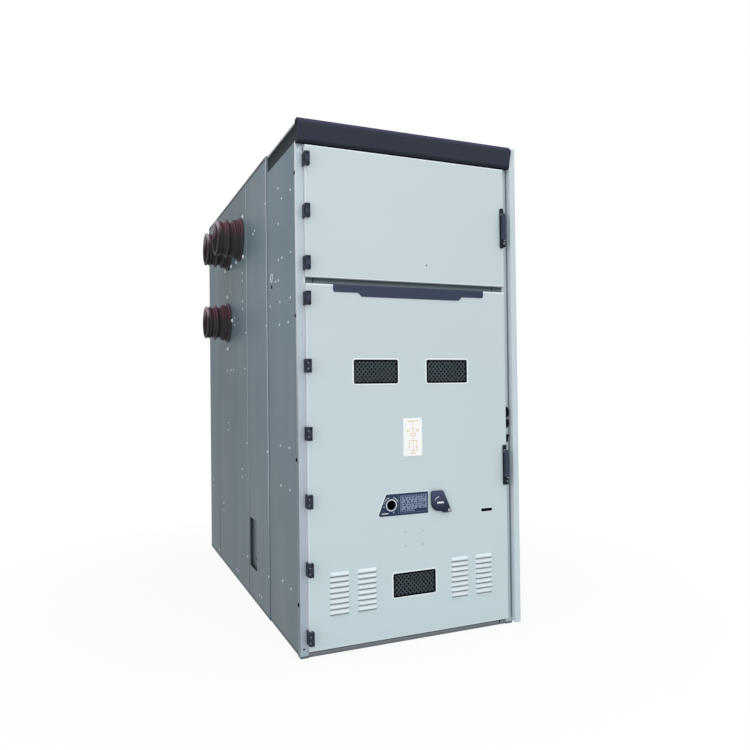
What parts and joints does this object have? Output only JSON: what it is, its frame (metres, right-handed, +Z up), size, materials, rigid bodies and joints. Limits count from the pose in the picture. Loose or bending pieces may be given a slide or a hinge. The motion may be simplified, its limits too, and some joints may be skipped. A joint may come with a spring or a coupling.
{
  "type": "switchgear panel",
  "caption": "Floor standing high voltage switchgear cabinet with hinged instrument and breaker doors, swing handles, vent louvres and ribbed wall bushings.",
  "frame": {"origin": "middle of the base on the floor", "axes": "+X to the right seen from the front, +Y to the back, +Z up; the doors face -Y"},
  "size_m": [1.398, 2.5762, 2.6],
  "materials": {
    "base_paint": "satin",
    "frame_paint": "satin",
    "rail_paint": "satin",
    "wall_sheet": "matt coated sheet",
    "inner_sheet": "matt coated sheet",
    "header_paint": "satin",
    "fitting_paint": "satin",
    "hub_steel": "plated",
    "resin": "glossy cast resin",
    "plate_blue": "matt",
    "pane": "clear",
    "mesh_paint": "matt",
    "guide_metal": "machined",
    "trip_paint": "satin",
    "black_plastic": "matt"
  },
  "bodies": {
    "cabinet": {"base_side_rails": "base_paint", "base_cross_rails": "base_paint", "floor_plate": "inner_sheet", "front_left_post": "frame_paint", "front_right_post": "frame_paint", "front_sill": "base_paint", "front_mid_rail": "rail_paint", "front_top_rail": "frame_paint", "left_front_panel": "wall_sheet", "left_middle_panel": "wall_sheet", "left_busbar_panel": "wall_sheet", "left_rear_panel": "wall_sheet", "right_side_panels": "wall_sheet", "right_cover_panels": "frame_paint", "roof_panels": "wall_sheet", "header_lintel": "header_paint", "header_cheek": "header_paint", "rear_upper_cover": "wall_sheet", "rear_lower_cover": "wall_sheet", "breaker_partition": "inner_sheet", "instrument_box_floor": "inner_sheet", "instrument_box_back": "inner_sheet", "bushing_upper_front": "resin", "bushing_upper_rear": "resin", "bushing_lower": "resin", "upper_hinge_posts": "fitting_paint", "lower_hinge_posts": "fitting_paint", "latch_keepers": "black_plastic"},
    "upper_door": {"upper_door": "frame_paint", "upper_hinge_leaves": "fitting_paint", "upper_handle_base": "fitting_paint"},
    "upper_hub": {"upper_handle_hub": "hub_steel"},
    "upper_lever": {"upper_handle_lever": "fitting_paint"},
    "lower_door": {"lower_door": "frame_paint", "lower_hinge_leaves": "fitting_paint", "lower_handle_base": "fitting_paint", "name_strip": "plate_blue", "window_panes": "pane", "window_meshes": "mesh_paint", "control_plate": "plate_blue", "crank_guide": "guide_metal", "trip_cover_pin": "guide_metal", "slot_trim": "black_plastic"},
    "lower_hub": {"lower_handle_hub": "hub_steel"},
    "lower_lever": {"lower_handle_lever": "fitting_paint"},
    "trip_cover": {"trip_cover": "trip_paint"}
  },
  "joints": [
    {"name": "upper_door_swing", "type": "hinge", "parent": "cabinet", "child": "upper_door", "pos_m": [-0.56, -1.295, 2.153], "axis": [0, 0, -1], "range_deg": [0, 120]},
    {"name": "upper_handle_turn", "type": "hinge", "parent": "upper_door", "child": "upper_hub", "pos_m": [0.547, -1.282, 2.224], "axis": [0, 1, 0], "range_deg": [0, 90]},
    {"name": "upper_lever_lift", "type": "hinge", "parent": "upper_hub", "child": "upper_lever", "pos_m": [0.547, -1.2935, 2.224], "axis": [-1, 0, 0], "range_deg": [0, 40]},
    {"name": "lower_door_swing", "type": "hinge", "parent": "cabinet", "child": "lower_door", "pos_m": [-0.56, -1.295, 0.919], "axis": [0, 0, -1], "range_deg": [0, 120]},
    {"name": "lower_handle_turn", "type": "hinge", "parent": "lower_door", "child": "lower_hub", "pos_m": [0.547, -1.282, 0.942], "axis": [0, 1, 0], "range_deg": [0, 90]},
    {"name": "lower_lever_lift", "type": "hinge", "parent": "lower_hub", "child": "lower_lever", "pos_m": [0.547, -1.2935, 0.942], "axis": [-1, 0, 0], "range_deg": [0, 40]},
    {"name": "trip_cover_swing", "type": "hinge", "parent": "lower_door", "child": "trip_cover", "pos_m": [0.14, -1.285, 0.698], "axis": [0, 1, 0], "range_deg": [0, 90]}
  ]
}
